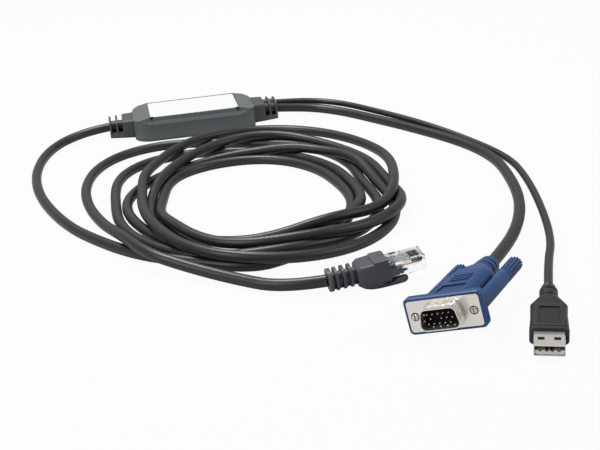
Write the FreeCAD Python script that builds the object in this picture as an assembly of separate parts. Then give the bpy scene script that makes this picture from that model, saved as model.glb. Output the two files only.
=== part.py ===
import FreeCAD, Part
import math
import os
from FreeCAD import Vector as V

# KVM dongle: an in-line electronics housing with a coiled network cable on its left end,
# and a video cable and a USB cable side by side on its right end.
# Origin: centre of the housing's underside. +X along the housing towards the computer
# side, +Y towards the back of the layout, +Z up. Millimetres.

# ---------------------------------------------------------------- driving dimensions
# housing
body_length = 80.0
body_width = 44.0
body_height = 15.2
corner_radius = 11.0
side_height = 10.9        # height of the upright sides, and the parting line
end_height = 12.9         # height at the foot of the sloping ends
bevel_in = 2.9            # how far the long top edges lean in
step_in = 0.6             # small step half way up the long bevels
label_length = 58.6
label_width = 37.4
label_depth = 0.4
wall = 1.8
notch_size = 1.6

# strain reliefs of the housing
relief_length = 16.0
relief_base_half = 11.0    # half width where it meets the housing
relief_tip_half = 8.3
relief_top = 12.6
relief_bottom = 0.9
fin_thickness = 1.3
slot_width = 3.0

# electronics
board_length = 66.0
board_width = 35.0
board_thickness = 1.6
board_bottom = 4.2
post_radius = 1.9

# cables
network_diameter = 5.7
video_diameter = 5.8
usb_diameter = 3.9
network_exit_z = 7.0
video_exit_y = -2.5
video_exit_z = 7.2
usb_exit_y = 2.7
usb_exit_z = 9.6

# video plug
screw_offset = 12.5
plate_width = 30.8
plate_height = 13.0
plate_thickness = 0.9
flange_width = 33.4
flange_height = 15.4
flange_depth = 4.2
dee_wide = 17.7
dee_height = 9.1
dee_depth = 6.7
dee_slant = 10.0
dee_radius = 2.6
sheet = 0.45
pin_radius = 0.38
pin_pitch = 2.29
row_pitch = 1.98
pin_length = 5.6
video_body_half = 9.6
video_body_length = 47.0
video_exit = 63.5
boss_radius = 3.3
boss_end = 39.4
screw_radius = 1.42
screw_clearance = 0.08
screw_proud = 0.7         # how far the screw's end stands out of the plate
thread_pitch = 0.64
thread_depth = 0.3
thread_turns = 6
knob_radius = 3.35
knob_end = 60.0
knob_flutes = 14

# USB plug
usb_shell_width = 12.0
usb_shell_height = 4.5
usb_shell_sheet = 0.3
usb_shell_length = 18.7
usb_body_half = 7.7
usb_body_height = 7.9
usb_exit = 57.0
usb_face = 12.0
usb_waist = 27.0
usb_contact_pitch = 2.0
usb_outer_contact = 3.5

# network plug
ring_radius = 4.85
ring_count = 4
ring_pitch = 3.25
boot_start = 12.9
boot_end = 27.4
boot_half = 6.9
boot_top = 4.7
hood_end = 34.8
hood_drop = 7.7
hood_thickness = 1.5
plug_start = 23.1
plug_end = 44.0
plug_half = 5.85
plug_half_height = 3.3
contact_pitch = 1.02
latch_half = 3.1

# where the plugs lie
video_place = (V(68.9, -347.4, 12.3), -35.5, -5.2, -14.5)
usb_place = (V(101.7, -374.5, 4.05), -21.3, 0.0, 0.0)
boot_place = (V(33.7, -286.3, 5.5), 1.5, -5.6, 0.0)

# cable routes: the corner points of each run
network_lead_route = [(-56, 0, 7.0), (-71, 0, 5.6), (-86, -7.5, 4.0), (-96.5, -22.5, 3.1),
                      (-101, -56, 3.0), (-102.5, -98, 3.0), (-94, -140, 3.0),
                      (-76, -182, 3.0), (-50, -218, 3.0), (-22, -240, 3.0)]
network_tail_end = (33.7, -286.3, 5.5)
network_tail_route = [(30, -62, 3.0), (4, -49, 3.0), (-24, -43, 3.0), (-49, -52, 3.0),
                      (-66, -75, 3.0), (-73, -108, 3.0), (-71, -142, 3.0), (-63, -176, 4.0),
                      (-54.5, -205, 8.8), (-43, -234, 8.8), (-26, -247, 5.0),
                      (-6, -264, 3.0), (14, -282.5, 3.3), network_tail_end]
video_route = [(56, -2.5, 7.2), (71, -2.7, 5.8), (86, -7, 4.2), (99, -18, 3.2),
               (111, -36.5, 3.0), (133, -74, 3.0), (152, -113, 3.0), (159.5, -148, 3.0),
               (156, -182, 3.0), (149.5, -214, 3.0), (138.5, -243, 3.0), (122.3, -271.8, 3.9)]
usb_route = [(56, 2.7, 9.6), (71, 3.1, 8.8), (87, -1, 7.8), (101, -12, 7.0),
             (114, -32, 6.6), (136.5, -70, 5.8), (156, -107, 3.0), (168, -148, 2.1),
             (164.5, -186, 2.1), (155, -232, 2.1), (144, -271, 2.4), (132.5, -295.3, 3.4)]

# the coiled part of the network cable, as the outer shape of its bundle
coil_centre = (20.0, -152.0)
coil_turn = -8.5          # degrees, from +X
coil_mid_x = 66.0
coil_mid_y = 88.0
coil_end_radius = 52.0
coil_half_width = 15.0
coil_height = 17.0
coil_edge = 5.0


# ---------------------------------------------------------------- helpers
def box(x0, x1, y0, y1, z0, z1):
    return Part.makeBox(x1 - x0, y1 - y0, z1 - z0, V(x0, y0, z0))


def rod(radius, start, end):
    return Part.makeCylinder(radius, (end - start).Length, start, end - start)


def to_space(axis, at, u, v):
    if axis == "x":
        return V(at, u, v)
    if axis == "y":
        return V(u, at, v)
    return V(u, v, at)


def rounded_wire(axis, at, u0, u1, v0, v1, radius):
    """A rectangle with round corners, on the plane where the axis equals at."""
    r = min(radius, 0.49 * (u1 - u0), 0.49 * (v1 - v0))
    d = r * (1 - math.sqrt(0.5))
    spots = [(u0 + r, v0), (u1 - r, v0), (u1 - d, v0 + d), (u1, v0 + r), (u1, v1 - r),
             (u1 - d, v1 - d), (u1 - r, v1), (u0 + r, v1), (u0 + d, v1 - d), (u0, v1 - r),
             (u0, v0 + r), (u0 + d, v0 + d)]
    p = [to_space(axis, at, u, v) for u, v in spots]
    edges = []
    for a, b, m, c in ((0, 1, 2, 3), (3, 4, 5, 6), (6, 7, 8, 9), (9, 10, 11, 0)):
        edges += [Part.LineSegment(p[a], p[b]).toShape(), Part.Arc(p[b], p[m], p[c]).toShape()]
    return Part.Wire(edges)


def loft(axis, sections, ruled=True):
    """sections: (at, u0, u1, v0, v1, radius)."""
    return Part.makeLoft([rounded_wire(axis, *s) for s in sections], True, ruled)


def prism(axis, points, start, length):
    """A straight-sided outline drawn across an axis and pushed along it."""
    spots = [to_space(axis, start, u, v) for u, v in points]
    face = Part.Face(Part.makePolygon(spots + spots[:1]))
    return face.extrude(to_space(axis, length, 0, 0))


def turned(profile, flip=1):
    """profile: (y, radius) pairs along +Y, turned about the Y axis."""
    pts = [V(0, profile[0][0], 0)] + [V(r, y, 0) for y, r in profile] + [V(0, profile[-1][0], 0)]
    face = Part.Face(Part.makePolygon(pts + pts[:1]))
    return face.revolve(V(0, 0, 0), V(0, 1, 0), 360)


def placed(shape, place):
    spot, yaw, pitch, roll = place
    turn = (FreeCAD.Rotation(V(0, 0, 1), yaw) * FreeCAD.Rotation(V(1, 0, 0), pitch)
            * FreeCAD.Rotation(V(0, 1, 0), roll))
    out = shape.copy()
    out.Placement = FreeCAD.Placement(spot, turn)
    return out


def placed_along_x(shape, place):
    spot, yaw, pitch, roll = place
    turn = FreeCAD.Rotation(V(0, 0, 1), yaw) * FreeCAD.Rotation(V(0, 1, 0), pitch)
    out = shape.copy()
    out.Placement = FreeCAD.Placement(spot, turn)
    return out


def mirrored_x(shape):
    return shape.mirror(V(0, 0, 0), V(1, 0, 0))


def save(name, shape):
    shape = shape.removeSplitter() if len(shape.Solids) == 1 else shape
    if not shape.isValid():
        print("not valid:", name)
    box_ = shape.BoundBox
    print("%-24s solids %d volume %9.1f  z %.2f" % (name, len(shape.Solids), shape.Volume,
                                                   box_.ZMin))
    shape.exportStep("parts/%s.step" % name)


def cable(name, route, diameter):
    """Straight runs joined by tangent arcs; each arc is as large as its runs allow."""
    pts = [V(*p) for p in route]
    edges, here, length, radii = [], pts[0], 0.0, []
    for i in range(1, len(pts) - 1):
        before, after = pts[i] - pts[i - 1], pts[i + 1] - pts[i]
        a, b = V(before).normalize(), V(after).normalize()
        half = 0.5 * a.getAngle(b)
        reach = 0.45 * min(before.Length, after.Length)
        radius = reach / math.tan(half)
        radii.append(radius)
        start, end = pts[i] - a * reach, pts[i] + b * reach
        inward = (b - a).normalize()
        middle = pts[i] + inward * (radius / math.cos(half) - radius)
        edges.append(Part.LineSegment(here, start).toShape())
        edges.append(Part.Arc(start, middle, end).toShape())
        length += (start - here).Length + radius * 2 * half
        here = end
    edges.append(Part.LineSegment(here, pts[-1]).toShape())
    length += (pts[-1] - here).Length
    path = Part.Wire(edges)
    ring = Part.Wire([Part.Circle(pts[0], pts[1] - pts[0], diameter / 2).toShape()])
    tube = path.makePipeShell([ring], True, False)
    want = math.pi * diameter ** 2 / 4 * length
    print("%s: radii %s" % (name, " ".join("%.0f" % r for r in radii)))
    print("%s: length %.1f, volume / (section x length) = %.4f"
          % (name, length, tube.Volume / want))
    return tube


os.makedirs("parts", exist_ok=True)

# ---------------------------------------------------------------- housing shells
half_length, half_width = body_length / 2, body_width / 2
label_half = label_length / 2


def housing_block(inset):
    """The housing's outside form, or the same form set in by a wall."""
    hl, hw, top = half_length - inset, half_width - inset, body_height - inset
    plan = loft("z", [(inset, -hl, hl, -hw, hw, corner_radius - inset),
                      (body_height, -hl, hl, -hw, hw, corner_radius - inset)])
    foot = end_height - 0.8 * inset
    crown = label_half + 0.6
    ends = prism("y", [(-hl, inset), (hl, inset), (hl, foot), (crown, top), (-crown, top),
                       (-hl, foot)], -half_width, body_width)
    mid = (side_height + body_height) / 2 - 0.4
    lean = bevel_in - step_in
    side = [(hw, inset), (hw, side_height - 0.4 * inset), (hw - lean / 2, mid - 0.4 * inset),
            (hw - lean / 2 - step_in, mid - 0.4 * inset), (hw - bevel_in, top)]
    across = prism("x", side + [(-u, v) for u, v in reversed(side)], -half_length, body_length)
    return plan.common(ends).common(across)


outside = housing_block(0.0)
inside = housing_block(wall)
below = box(-100, 100, -50, 50, -1, side_height)
above = box(-100, 100, -50, 50, side_height, 50)


def relief_hole(grow):
    """The mouth in an end wall that a strain relief's neck fills."""
    return loft("x", [(half_length - wall - 1.0, -relief_base_half + 2 - grow,
                       relief_base_half - 2 + grow, relief_bottom + 1.2 - grow,
                       end_height - 2.6 + grow, 2.0),
                      (half_length + 0.01, -relief_base_half + 2 - grow,
                       relief_base_half - 2 + grow, relief_bottom + 1.2 - grow,
                       end_height - 2.6 + grow, 2.0)])


mouth = relief_hole(0.0)
mouths = mouth.fuse(mirrored_x(mouth))
post_x, post_y = board_length / 2 - 5, board_width / 2 - 4
post_spots = [(sx * post_x, sy * post_y) for sx in (-1, 1) for sy in (-1, 1)]

housing_base = outside.common(below).cut(inside).cut(mouths)
for x, y in post_spots:
    housing_base = housing_base.fuse(rod(post_radius, V(x, y, wall - 0.1), V(x, y, board_bottom)))
    housing_base = housing_base.fuse(rod(post_radius / 2, V(x, y, board_bottom - 0.1),
                                         V(x, y, board_bottom + board_thickness + 1.2)))
# a low tongue inside the rim keeps the two halves in line
rim_height = 1.0
tongue_block = housing_block(wall * 0.5).cut(inside).common(
    box(-100, 100, -50, 50, side_height - 0.1, side_height + rim_height))
tongue_block = tongue_block.cut(box(half_length - 5, 100, -50, 50, 0, 50))
tongue_block = tongue_block.cut(box(-100, -half_length + 5, -50, 50, 0, 50))
housing_base = housing_base.fuse(tongue_block)
save("housing_base", housing_base)

housing_cover = outside.common(above).cut(inside).cut(mouths)
housing_cover = housing_cover.cut(tongue_block)
label_pocket = loft("z", [(body_height - label_depth, -label_half, label_half, -label_width / 2,
                           label_width / 2, 1.2),
                          (body_height + 1, -label_half, label_half, -label_width / 2,
                           label_width / 2, 1.2)])
housing_cover = housing_cover.cut(label_pocket)
for sx in (-1, 1):
    x = sx * (label_half - 0.9)
    housing_cover = housing_cover.cut(box(x - notch_size / 2, x + notch_size / 2,
                                          -label_width / 2 - 0.9, -label_width / 2 + 0.4,
                                          body_height - wall - 0.2, body_height + 1))
# ribs under the roof press the board down on its posts
for x, y in post_spots:
    rib = rod(post_radius, V(x, y, board_bottom + board_thickness),
              V(x, y, body_height - wall + 0.3))
    rib = rib.cut(rod(post_radius / 2 + 0.1, V(x, y, 0), V(x, y, board_bottom
                                                           + board_thickness + 1.6)))
    housing_cover = housing_cover.fuse(rib)
save("housing_cover", housing_cover)

label_gap = 0.25
label = loft("z", [(z, -label_half + label_gap, label_half - label_gap,
                    -label_width / 2 + label_gap, label_width / 2 - label_gap, 1.0)
                   for z in (body_height - label_depth, body_height - label_depth + 0.15)])
for sx in (-1, 1):
    x = sx * (label_half - 0.9)
    label = label.cut(box(x - notch_size / 2, x + notch_size / 2, -label_width / 2 - 0.9,
                          -label_width / 2 + 0.4, 0, 50))
save("label", label)


# ---------------------------------------------------------------- housing strain reliefs
def strain_relief(top, cores):
    """A moulded block with slots cut from the top, so that it bends with its cable."""
    x0, x1 = half_length, half_length + relief_length
    block = loft("x", [(x0, -relief_base_half, relief_base_half, relief_bottom - 0.3, top, 1.6),
                       (x0 + 0.45 * relief_length, -relief_base_half + 0.7,
                        relief_base_half - 0.7, relief_bottom, top - 0.2, 1.6),
                       (x1, -relief_tip_half, relief_tip_half, relief_bottom + 0.2,
                        top - 0.5, 1.4)])
    core = None
    for y, z, r in cores:
        one = rod(r + 1.0, V(x0, y, z), V(x1, y, z))
        core = one if core is None else core.fuse(one)
    slot_end = x1 - fin_thickness
    for k in range(2):
        hi = slot_end - k * (slot_width + fin_thickness)
        slot = box(hi - slot_width, hi, -20, 20, relief_bottom + 3.4, 40)
        block = block.cut(slot.cut(core))
    neck = relief_hole(0.0).common(box(half_length - wall, half_length, -50, 50, 0, 50))
    inner = loft("x", [(x, -relief_base_half, relief_base_half, wall + 0.6, end_height - 2.2, 1.5)
                       for x in (half_length - wall - 3.0, half_length - wall)])
    inner = inner.common(housing_block(wall))
    return block.fuse(neck).fuse(inner)


network_relief = mirrored_x(strain_relief(relief_top, [(0, network_exit_z,
                                                        network_diameter / 2)]))
save("network_strain_relief", network_relief)
computer_relief = strain_relief(relief_top + 0.6, [(video_exit_y, video_exit_z,
                                                    video_diameter / 2),
                                                   (usb_exit_y, usb_exit_z, usb_diameter / 2)])
save("computer_strain_relief", computer_relief)

# ---------------------------------------------------------------- electronics
board_top = board_bottom + board_thickness
board = loft("z", [(z, -board_length / 2, board_length / 2, -board_width / 2, board_width / 2, 5)
                   for z in (board_bottom, board_top)])
for x, y in post_spots:
    board = board.cut(rod(post_radius / 2 + 0.1, V(x, y, 0), V(x, y, 20)))
save("circuit_board", board)


def chip(x, y, lx, ly, height):
    return loft("z", [(board_top, x - lx / 2, x + lx / 2, y - ly / 2, y + ly / 2, 0.3),
                      (board_top + height, x - lx / 2 + 0.2, x + lx / 2 - 0.2,
                       y - ly / 2 + 0.2, y + ly / 2 - 0.2, 0.3)])


save("processor_chip", chip(8, 2, 14, 14, 1.6))
save("video_chips", Part.makeCompound([chip(22.5, 6.5, 9, 9, 1.4), chip(20, -8.5, 10, 6, 1.2)]))
save("network_transformer", chip(-15, 2, 12.5, 15, 5.6))
crystal = loft("z", [(board_top, 4, 15, -13, -8.5, 2.2), (board_top + 3.4, 4, 15, -13, -8.5, 2.2)])
save("clock_crystal", crystal)
save("capacitors", Part.makeCompound([rod(2.5, V(x, y, board_top), V(x, y, board_top + 5.4))
                                      for x, y in ((-3.5, 10.5), (-3.5, -11), (12, 13.5))]))
header_height = 6.0
for name, x, pins in (("network_wire_header", -27.5, 10), ("computer_wire_header", 30.0, 12)):
    shroud = box(x - 2.4, x + 2.4, -pins * 0.75 - 1, pins * 0.75 + 1, board_top,
                 board_top + header_height)
    shroud = shroud.cut(box(x - 1.7, x + 1.7, -pins * 0.75 - 0.3, pins * 0.75 + 0.3,
                            board_top + 1.2, 50))
    save(name, shroud)


# ---------------------------------------------------------------- video plug
# Local frame: origin at the centre of the plate's front, +Y into the plug, +Z up.
def dee(grow, y0, y1):
    """The slant-sided mouth of the plug, wide side down."""
    top, bottom = dee_height / 2 + grow, -dee_height / 2 - grow
    wide = dee_wide / 2 + grow
    narrow = wide - (top - bottom) * math.tan(math.radians(dee_slant))
    solid = prism("y", [(-wide, bottom), (wide, bottom), (narrow, top), (-narrow, top)],
                  y0, y1 - y0)
    upright = [e for e in solid.Edges if abs(e.tangentAt(e.FirstParameter).y) > 0.99]
    return solid.makeFillet(max(dee_radius + grow, 0.5), upright)


plate = loft("y", [(y, -plate_width / 2, plate_width / 2, -plate_height / 2, plate_height / 2, 1.3)
                   for y in (0.0, plate_thickness)])
dee_lip = dee(0.5, -0.5, 0.2)
front_shell = plate.fuse(dee_lip).fuse(dee(0.0, -dee_depth, plate_thickness))
front_shell = front_shell.cut(dee(-sheet, -dee_depth - 1, plate_thickness + 1))
bore_front = screw_radius + 0.4
for sx in (-1, 1):
    front_shell = front_shell.cut(rod(bore_front, V(sx * screw_offset, -1, 0),
                                      V(sx * screw_offset, 2, 0)))
# pressed dimples that grip the socket's shell
dimple = 0.62
for k in range(4):
    x = (k - 1.5) * 3.0
    for sz in (-1, 1):
        front_shell = front_shell.fuse(Part.makeSphere(dimple, V(x, -2.6, sz * (dee_height / 2
                                                                               - 0.32))))
for sx in (-1, 1):
    for z in (-1.4, 1.4):
        mean = (dee_wide / 2 - (z + dee_height / 2) * math.tan(math.radians(dee_slant))) - 0.34
        front_shell = front_shell.fuse(Part.makeSphere(dimple, V(sx * mean, -2.6, z)))
save("vga_front_shell", placed(front_shell, video_place))

insulator_face = -0.4
insulator_back = 9.0
insulator = dee(-sheet, insulator_face, insulator_back)
pin_spots = []
for row, z in ((0, row_pitch), (1, 0.0), (2, -row_pitch)):
    shift = pin_pitch / 4 if row == 1 else -pin_pitch / 4
    for k in range(5):
        if row == 1 and k == 1:
            continue          # the unused ninth position
        pin_spots.append(((k - 2) * pin_pitch + shift, z))
pins = []
for x, z in pin_spots:
    pin = rod(pin_radius, V(x, -pin_length + 0.35, z), V(x, insulator_back + 2.0, z))
    tip = Part.makeCone(pin_radius, 0.16, 0.35, V(x, -pin_length + 0.35, z), V(0, -1, 0))
    pin = pin.fuse(tip)
    insulator = insulator.cut(rod(pin_radius, V(x, -9, z), V(x, 20, z)))
    pins.append(pin)
save("vga_insulator", placed(insulator, video_place))
save("vga_pins", placed(Part.makeCompound(pins), video_place))

flange = loft("y", [(0.25, -flange_width / 2 + 0.3, flange_width / 2 - 0.3,
                     -flange_height / 2 + 0.3, flange_height / 2 - 0.3, 1.9),
                    (0.8, -flange_width / 2, flange_width / 2, -flange_height / 2,
                     flange_height / 2, 2.2),
                    (flange_depth, -flange_width / 2, flange_width / 2, -flange_height / 2,
                     flange_height / 2, 2.2)])
hb = video_body_half
core = loft("y", [(flange_depth - 0.5, -hb, hb, -6.4, 6.4, 4.6), (37.0, -hb, hb, -6.3, 6.3, 4.8),
                  (42.5, -hb + 1.4, hb - 1.4, -6.0, 6.0, 5.0),
                  (video_body_length, -6.2, 6.2, -5.6, 5.6, 5.2),
                  (video_body_length + 1.4, -5.4, 5.4, -5.4, 5.4, 5.2)])
ringed = turned([(video_body_length, 5.4), (51.6, 5.4), (51.8, 4.4), (52.9, 4.4), (53.1, 5.25),
                 (56.1, 5.1), (56.3, 4.2), (57.4, 4.2), (57.6, 4.9), (61.0, 4.7),
                 (62.6, 4.2), (video_exit, 3.3)])
overmould = flange.fuse(core).fuse(ringed)
for sx in (-1, 1):
    overmould = overmould.fuse(rod(boss_radius, V(sx * screw_offset, flange_depth - 0.5, 0),
                                   V(sx * screw_offset, boss_end, 0)))
# stepped panel on both broad faces, with four grip ribs behind it
for sz in (-1, 1):
    z0, z1 = sorted((sz * 5.75, sz * 8.0))
    panel = prism("z", [(-6.2, 7.0), (6.2, 7.0), (5.2, 17.6), (-5.2, 17.6)], z0, z1 - z0)
    overmould = overmould.cut(panel)
    for k in range(4):
        y = 22.4 + k * 2.3
        z0, z1 = sorted((sz * 5.9, sz * 6.75))
        rib = loft("z", [(z, -4.3, 4.3, y, y + 1.1, 0.5) for z in (z0, z1)])
        overmould = overmould.fuse(rib)
plate_pocket = loft("y", [(y, -plate_width / 2, plate_width / 2, -plate_height / 2,
                           plate_height / 2, 1.3) for y in (-1.0, plate_thickness)])
overmould = overmould.cut(plate_pocket).cut(dee(-sheet, 0, insulator_back))
for x, z in pin_spots:
    overmould = overmould.cut(rod(pin_radius, V(x, 0, z), V(x, insulator_back + 2.0, z)))
collar_seat = 9.0
for sx in (-1, 1):
    x = sx * screw_offset
    overmould = overmould.cut(rod(bore_front, V(x, -1, 0), V(x, collar_seat, 0)))
    overmould = overmould.cut(rod(screw_radius + screw_clearance, V(x, 0, 0), V(x, boss_end + 1, 0)))
save("vga_overmould", placed(overmould, video_place))

knob_start = boss_end + 0.35
for side, sx in (("left", -1), ("right", 1)):
    x = sx * screw_offset
    thread = [(-screw_proud, screw_radius - thread_depth - 0.2)]
    for k in range(thread_turns):
        y = -screw_proud + 0.3 + k * thread_pitch
        thread += [(y, screw_radius), (y + thread_pitch / 2, screw_radius - thread_depth)]
    jack = turned(thread + [(thread[-1][0] + 0.3, screw_radius),
                            (knob_end - 3.0, screw_radius)])
    jack = jack.cut(box(-0.25, 0.25, -screw_proud - 1, -screw_proud + 0.7, -3, 3))
    jack.translate(V(x, 0, 0))
    jack = jack.fuse(rod(screw_radius + 0.25, V(x, collar_seat - 2.6, 0),
                         V(x, collar_seat - 0.35, 0)))
    save("vga_jackscrew_" + side, placed(jack, video_place))
    flutes = []
    for k in range(knob_flutes):
        for share, reach in ((0.0, knob_radius), (0.42, knob_radius), (0.56, knob_radius - 0.4),
                             (0.86, knob_radius - 0.4)):
            a = 2 * math.pi * (k + share) / knob_flutes
            flutes.append(V(reach * math.cos(a), knob_start + 2.2, reach * math.sin(a)))
    grip_length = knob_end - knob_start - 3.0
    knob = Part.Face(Part.makePolygon(flutes + flutes[:1])).extrude(V(0, grip_length, 0))
    collar = turned([(knob_start, knob_radius - 0.5), (knob_start + 0.6, knob_radius - 0.05),
                     (knob_start + 2.2, knob_radius - 0.05)])
    crown = turned([(knob_start + 2.2 + grip_length, knob_radius - 0.45),
                    (knob_end, knob_radius - 1.0)])
    knob = knob.fuse(collar).fuse(crown)
    knob = knob.cut(box(-0.55, 0.55, knob_end - 2.2, knob_end + 1, -5, 5))
    knob.translate(V(x, 0, 0))
    knob = knob.cut(rod(screw_radius, V(x, 0, 0), V(x, knob_end - 3.0, 0)))
    save("vga_thumb_knob_" + side, placed(knob, video_place))

# ---------------------------------------------------------------- USB plug
# Local frame: origin at the centre of the shell's mouth, +Y into the plug, +Z up.
sw, sh, st = usb_shell_width / 2, usb_shell_height / 2, usb_shell_sheet
usb_shell = loft("y", [(y, -sw, sw, -sh, sh, 0.5) for y in (0.0, usb_shell_length)])
usb_shell = usb_shell.cut(loft("y", [(y, -sw + st, sw - st, -sh + st, sh - st, 0.25)
                                     for y in (-1.0, usb_shell_length + 1)]))
window_x, window_y, window_w, window_l = 3.1, 4.7, 2.6, 2.5
for sx in (-1, 1):
    usb_shell = usb_shell.cut(box(sx * window_x - window_w / 2, sx * window_x + window_w / 2,
                                  window_y, window_y + window_l, -5, 5))
save("usb_shell", placed(usb_shell, usb_place))

tongue_top = -0.05
usb_tongue = box(-sw + st, sw - st, 0.6, 9.0, -sh + st, tongue_top)
usb_tongue = usb_tongue.fuse(box(-sw + st, sw - st, 9.0, usb_shell_length, -sh + st, sh - st))
usb_spots = [-usb_outer_contact, -usb_contact_pitch / 2, usb_contact_pitch / 2,
             usb_outer_contact]
contacts = []
for k, x in enumerate(usb_spots):
    reach = 1.3 if k in (0, 3) else 2.2
    usb_tongue = usb_tongue.cut(box(x - 0.6, x + 0.6, 0, 9.0, tongue_top - 0.55, tongue_top + 1))
    contacts.append(box(x - 0.5, x + 0.5, reach, 9.0, tongue_top - 0.55, tongue_top - 0.2))
fit = usb_shell_sheet + 0.05
usb_tongue = usb_tongue.common(loft("y", [(y, -sw + fit, sw - fit, -sh + fit, sh - fit, 0.3)
                                          for y in (0.0, usb_shell_length)]))
save("usb_tongue", placed(usb_tongue, usb_place))
save("usb_contacts", placed(Part.makeCompound(contacts), usb_place))

uh, ub = usb_body_height / 2, usb_body_half
grip = loft("y", [(usb_face, -ub + 0.3, ub - 0.3, -uh + 0.3, uh - 0.3, 1.8),
                  (usb_face + 0.5, -ub, ub, -uh, uh, 1.9),
                  (usb_waist, -ub + 0.45, ub - 0.45, -uh, uh, 1.9),
                  (33.5, -ub + 0.2, ub - 0.2, -uh, uh, 1.9),
                  (38.6, -ub + 2.4, ub - 2.4, -uh, uh, 2.0), (42.6, -4.0, 4.0, -3.6, 3.6, 2.6)])
bulb = turned([(42.0, 3.4), (44.0, 3.3), (44.6, 3.85), (46.0, 3.95), (48.0, 3.9), (48.6, 3.2),
               (49.3, 3.2), (49.9, 3.9), (51.6, 3.85), (53.4, 3.4), (53.8, 2.9), (54.6, 2.9),
               (55.0, 3.1), (usb_exit, 2.3)])
usb_overmould = grip.fuse(bulb)
# a shallow line round the front, and a square panel on both broad faces
front_line = loft("y", [(y, -ub - 1, ub + 1, -uh - 1, uh + 1, 1.0) for y in (13.4, 13.9)]).cut(
    loft("y", [(y, -ub + 0.25, ub - 0.25, -uh + 0.25, uh - 0.25, 1.7) for y in (13.0, 14.3)]))
usb_overmould = usb_overmould.cut(front_line)
for sz in (-1, 1):
    z0, z1 = sorted((sz * (uh - 0.4), sz * (uh + 1)))
    usb_overmould = usb_overmould.cut(loft("z", [(z, -4.1, 4.1, 15.6, 30.6, 0.5)
                                                 for z in (z0, z1)]))
usb_overmould = usb_overmould.cut(loft("y", [(y, -sw, sw, -sh, sh, 0.5)
                                             for y in (0.0, usb_shell_length)]))
save("usb_overmould", placed(usb_overmould, usb_place))

# ---------------------------------------------------------------- network plug
# Local frame: origin where the cable enters the boot, +X towards the nose, +Z up.
jacket_r = network_diameter / 2
boot = rod(ring_radius - 1.6, V(0.2, 0, 0), V(boot_start + 1, 0, 0))
for k in range(ring_count):
    x = k * ring_pitch
    thick = 1.9 if k == 0 else 1.3
    disc = loft("x", [(x, -ring_radius, ring_radius, -ring_radius, ring_radius, 3.4),
                      (x + thick, -ring_radius, ring_radius, -ring_radius, ring_radius, 3.4)])
    boot = boot.fuse(disc)
    # each gap is bridged underneath, so that the rings bend but don't stretch
    boot = boot.fuse(box(x + 0.2, x + ring_pitch + 0.3, -1.1, 1.1, -ring_radius + 0.2, -2.9))
saddle = loft("x", [(boot_start, -boot_half + 1.9, boot_half - 1.9, -4.8, boot_top - 0.8, 1.6),
                    (boot_start + 2.0, -boot_half + 0.4, boot_half - 0.4, -5.8, boot_top - 0.1,
                     1.6),
                    (boot_start + 7.6, -boot_half, boot_half, -6.4, boot_top + 0.1, 1.6),
                    (boot_end, -boot_half, boot_half, -4.4, boot_top + 0.1, 1.2)])
panel = loft("z", [(z, boot_start + 7.7, boot_end - 0.3, -boot_half + 0.8, boot_half - 0.8, 0.9)
                   for z in (boot_top - 0.4, boot_top + 0.6)])
saddle = saddle.fuse(panel)
# the chin below, and the hood that runs forward under the latch
hump_line = [(boot_start + 0.1, -3.0), (boot_start + 0.6, -4.7), (boot_start + 2.6, -6.3),
             (boot_start + 5.6, -7.3), (boot_start + 9.4, -hood_drop),
             (hood_end - 4.6, -hood_drop), (hood_end - 1.6, -hood_drop + 0.15),
             (hood_end - 0.4, -hood_drop + 0.5), (hood_end, -hood_drop + 1.1),
             (hood_end - 0.5, -hood_drop + hood_thickness),
             (boot_start + 12.0, -hood_drop + hood_thickness), (boot_start + 10.0, -5.6),
             (boot_start + 9.0, -4.6), (boot_start + 9.0, -2.0)]
hump = prism("y", hump_line, -4.9, 9.8)
# the hood's side walls rise at its tip
tip_line = [(hood_end - 7.5, -hood_drop + 0.6), (hood_end - 0.3, -hood_drop + 0.6),
            (hood_end + 0.5, -hood_drop + 1.6), (hood_end + 0.4, -hood_drop + 2.9),
            (hood_end - 0.8, -hood_drop + 3.6), (hood_end - 3.4, -hood_drop + 3.2),
            (hood_end - 6.0, -hood_drop + 2.0)]
hump = hump.fuse(prism("y", tip_line, -4.9, 9.8).cut(
    box(0, 60, -latch_half - 0.55, latch_half + 0.55, -hood_drop + hood_thickness, 0)))
# side arms that taper forward along the plug
arm_line = [(boot_end - 3, -4.2), (boot_end, -3.2), (boot_end + 7.8, -0.9),
            (boot_end + 7.8, -0.5), (boot_end, 1.4), (boot_end - 3, 1.4)]
arms = prism("y", arm_line, -boot_half + 0.1, 2 * boot_half - 0.2)
arms = arms.cut(box(0, 60, -plug_half - 0.02, plug_half + 0.02, -10, 10))
latch_room = box(boot_start + 9.0, 60, -latch_half - 0.5, latch_half + 0.5,
                 -hood_drop + hood_thickness,
                 -plug_half_height)
boot = boot.fuse(saddle).fuse(hump)
boot = boot.cut(latch_room)
plug_room = box(plug_start, 60, -plug_half, plug_half, -plug_half_height, plug_half_height)
boot = boot.cut(plug_room).fuse(arms)
boot = boot.cut(rod(jacket_r, V(-1, 0, 0), V(plug_start + 1, 0, 0)))
save("rj45_boot", placed_along_x(boot, boot_place))

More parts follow.
